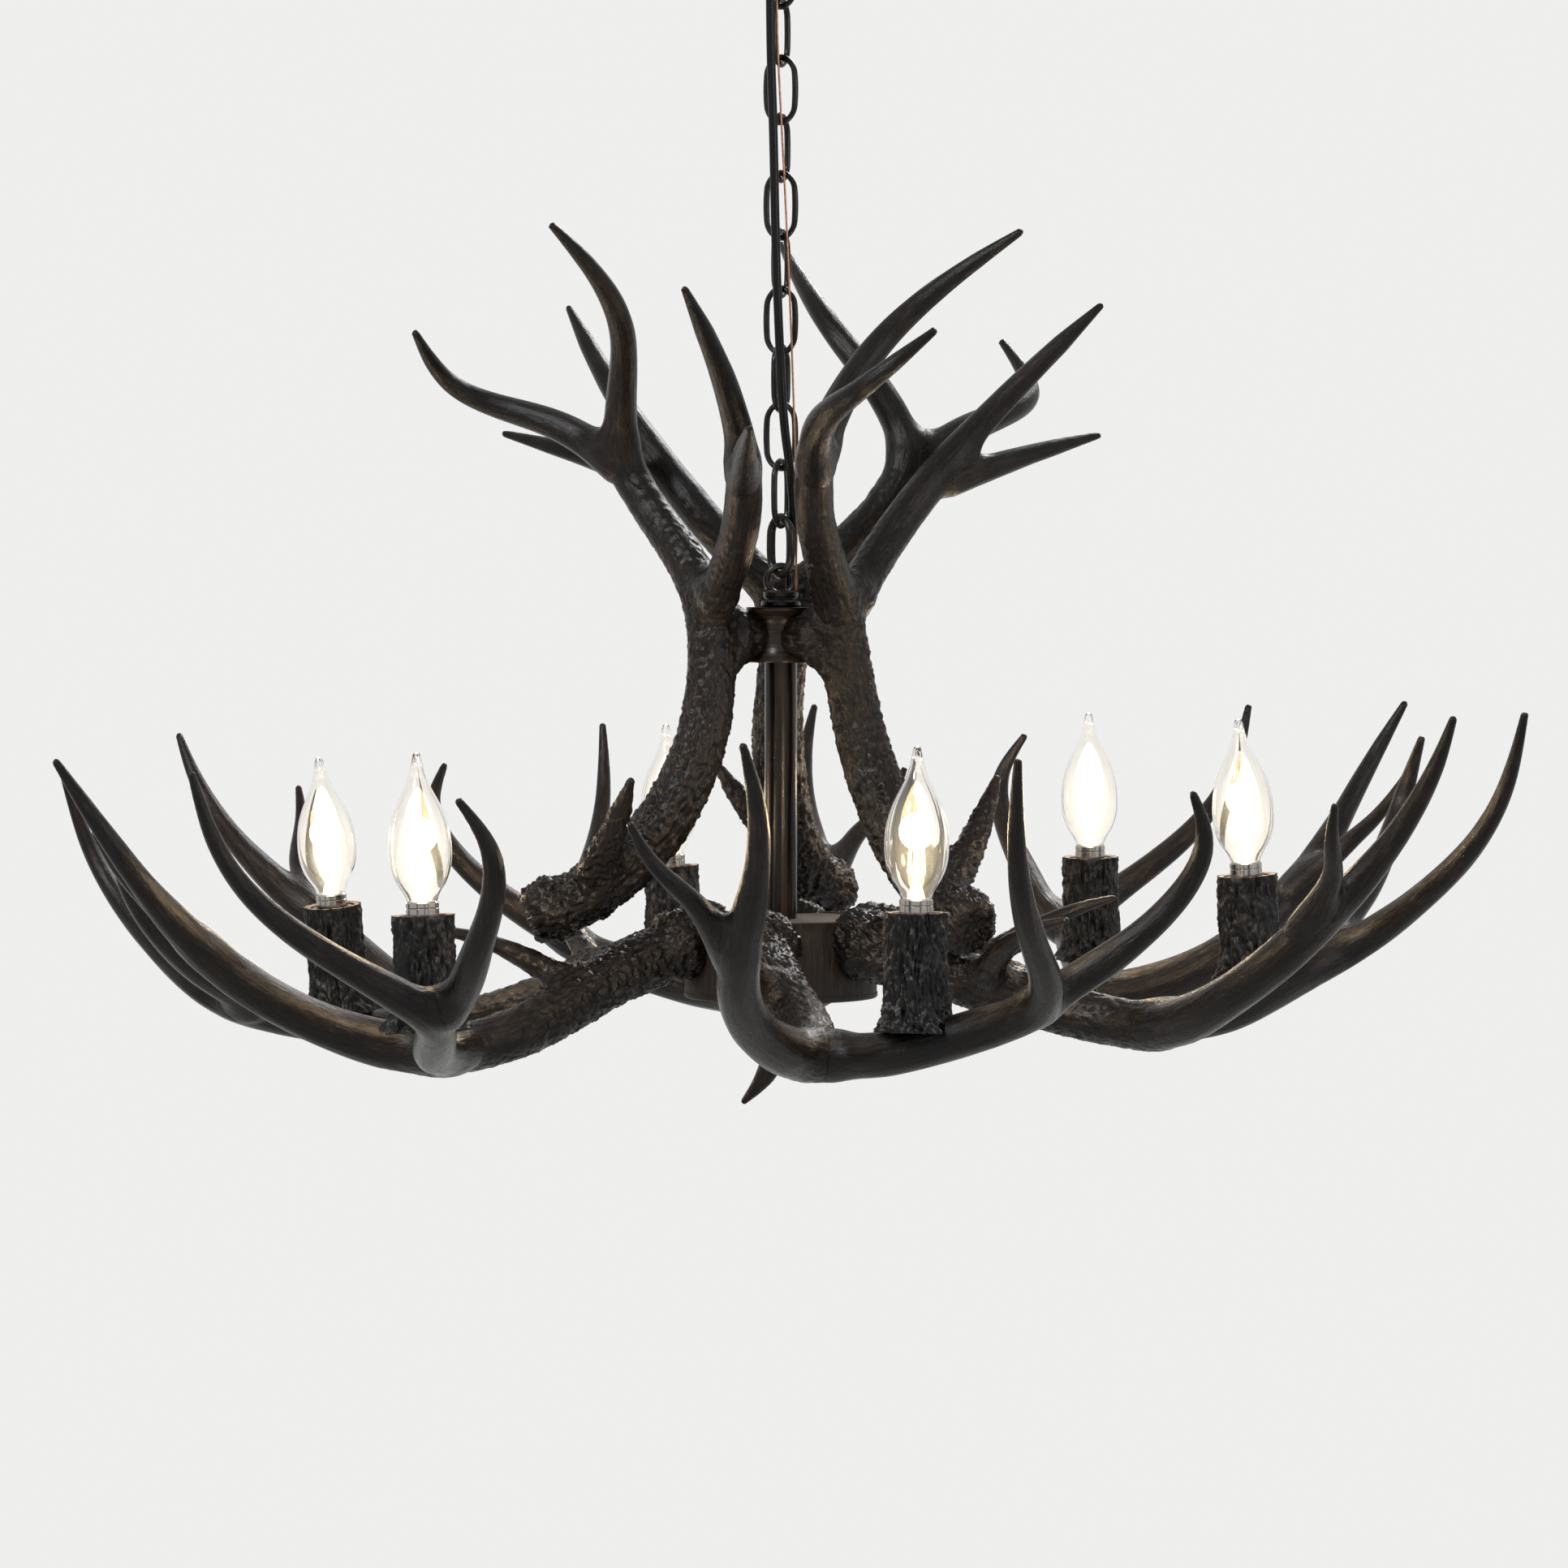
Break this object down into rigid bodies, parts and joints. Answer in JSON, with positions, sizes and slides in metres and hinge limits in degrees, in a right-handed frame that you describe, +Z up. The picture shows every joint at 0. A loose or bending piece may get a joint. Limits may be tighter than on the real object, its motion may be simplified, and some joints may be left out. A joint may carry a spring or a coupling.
{
  "type": "antler chandelier",
  "caption": "Chandelier of interlocking cast antlers round a hub on a stem, with candle-style lamps in bark sleeves, hung from a ceiling rose by a chain.",
  "frame": {"origin": "centre of the fixing bar where it meets the ceiling, on the chain axis", "axes": "+Z up along the chain, -Y toward the front view, +X to the right"},
  "size_m": [0.8611, 0.8915, 0.7194],
  "materials": {
    "antler_resin": "dark brown cast resin with a soft sheen and worn ridges",
    "bark_resin": "dark brown cast resin with a bark-like surface",
    "black_metal": "gloss black",
    "hub_metal": "hammered bronze-brown",
    "zinc_steel": "zinc plated",
    "holder_plastic": "black phenolic",
    "nickel": "bright nickel",
    "clear_glass": "clear",
    "filament": "glowing warm filament",
    "cord_black": "black flexible sheath",
    "copper": "bare copper",
    "block_plastic": "ivory"
  },
  "bodies": {
    "ceiling_rose": {"canopy": "black_metal", "mounting_bar": "zinc_steel", "hook_loop": "black_metal", "cord_bush": "cord_black"},
    "top_link": {"chain_link_top": "black_metal"},
    "pendant": {"antler_studs": "zinc_steel", "candle_sleeve_1": "bark_resin", "candle_sleeve_2": "bark_resin", "candle_sleeve_3": "bark_resin", "candle_sleeve_4": "bark_resin", "candle_sleeve_5": "bark_resin", "candle_sleeve_6": "bark_resin", "chain_links": "black_metal", "collar": "black_metal", "collar_bolts": "zinc_steel", "connector_link": "black_metal", "earth_wire": "copper", "finial_tine": "antler_resin", "hub": "hub_metal", "hub_cover": "hub_metal", "lamp_holder_1": "holder_plastic", "lamp_holder_2": "holder_plastic", "lamp_holder_3": "holder_plastic", "lamp_holder_4": "holder_plastic", "lamp_holder_5": "holder_plastic", "lamp_holder_6": "holder_plastic", "lower_antler_1": "antler_resin", "lower_antler_2": "antler_resin", "lower_antler_3": "antler_resin", "lower_antler_4": "antler_resin", "lower_antler_5": "antler_resin", "lower_antler_6": "antler_resin", "stem_tube": "black_metal", "stud_nuts": "zinc_steel", "supply_cord": "cord_black", "terminal_block": "block_plastic", "top_loop": "black_metal", "tube_nut": "zinc_steel", "upper_antler_1": "antler_resin", "upper_antler_2": "antler_resin", "upper_antler_3": "antler_resin"},
    "bulb_1": {"bulb_cap_1": "nickel", "bulb_glass_1": "clear_glass", "bulb_filament_1": "filament"},
    "bulb_2": {"bulb_cap_2": "nickel", "bulb_glass_2": "clear_glass", "bulb_filament_2": "filament"},
    "bulb_3": {"bulb_cap_3": "nickel", "bulb_glass_3": "clear_glass", "bulb_filament_3": "filament"},
    "bulb_4": {"bulb_cap_4": "nickel", "bulb_glass_4": "clear_glass", "bulb_filament_4": "filament"},
    "bulb_5": {"bulb_cap_5": "nickel", "bulb_glass_5": "clear_glass", "bulb_filament_5": "filament"},
    "bulb_6": {"bulb_cap_6": "nickel", "bulb_glass_6": "clear_glass", "bulb_filament_6": "filament"}
  },
  "joints": [
    {"name": "hook_swing", "type": "hinge", "parent": "ceiling_rose", "child": "top_link", "pos_m": [0, 0, -0.0421], "axis": [0.4226, 0.9063, 0], "range_deg": [-6, 6], "deforming": ["supply_cord", "earth_wire"]},
    {"name": "link_swing", "type": "hinge", "parent": "top_link", "child": "pendant", "pos_m": [0, 0, -0.07565], "axis": [0.9063, -0.4226, 0], "range_deg": [-6, 6], "deforming": ["supply_cord", "earth_wire"]},
    {"name": "bulb_turn_1", "type": "hinge", "parent": "pendant", "child": "bulb_1", "pos_m": [0.07311, -0.26972, -0.5892], "axis": [0.0077, 0.0147, 0.9999], "range_deg": [0, 720]},
    {"name": "bulb_turn_2", "type": "hinge", "parent": "pendant", "child": "bulb_2", "pos_m": [-0.19819, -0.19819, -0.59511], "axis": [-0.038, 0.0117, 0.9992], "range_deg": [0, 720]},
    {"name": "bulb_turn_3", "type": "hinge", "parent": "pendant", "child": "bulb_3", "pos_m": [-0.27031, 0.07637, -0.60683], "axis": [-0.0804, -0.0779, 0.9937], "range_deg": [0, 720]},
    {"name": "bulb_turn_4", "type": "hinge", "parent": "pendant", "child": "bulb_4", "pos_m": [-0.07, 0.27102, -0.59348], "axis": [-0.0345, -0.0045, 0.9994], "range_deg": [0, 720]},
    {"name": "bulb_turn_5", "type": "hinge", "parent": "pendant", "child": "bulb_5", "pos_m": [0.19316, 0.20106, -0.58426], "axis": [-0.0143, -0.0301, 0.9994], "range_deg": [0, 720]},
    {"name": "bulb_turn_6", "type": "hinge", "parent": "pendant", "child": "bulb_6", "pos_m": [0.26765, -0.07575, -0.57983], "axis": [-0.0563, -0.021, 0.9982], "range_deg": [0, 720]}
  ]
}
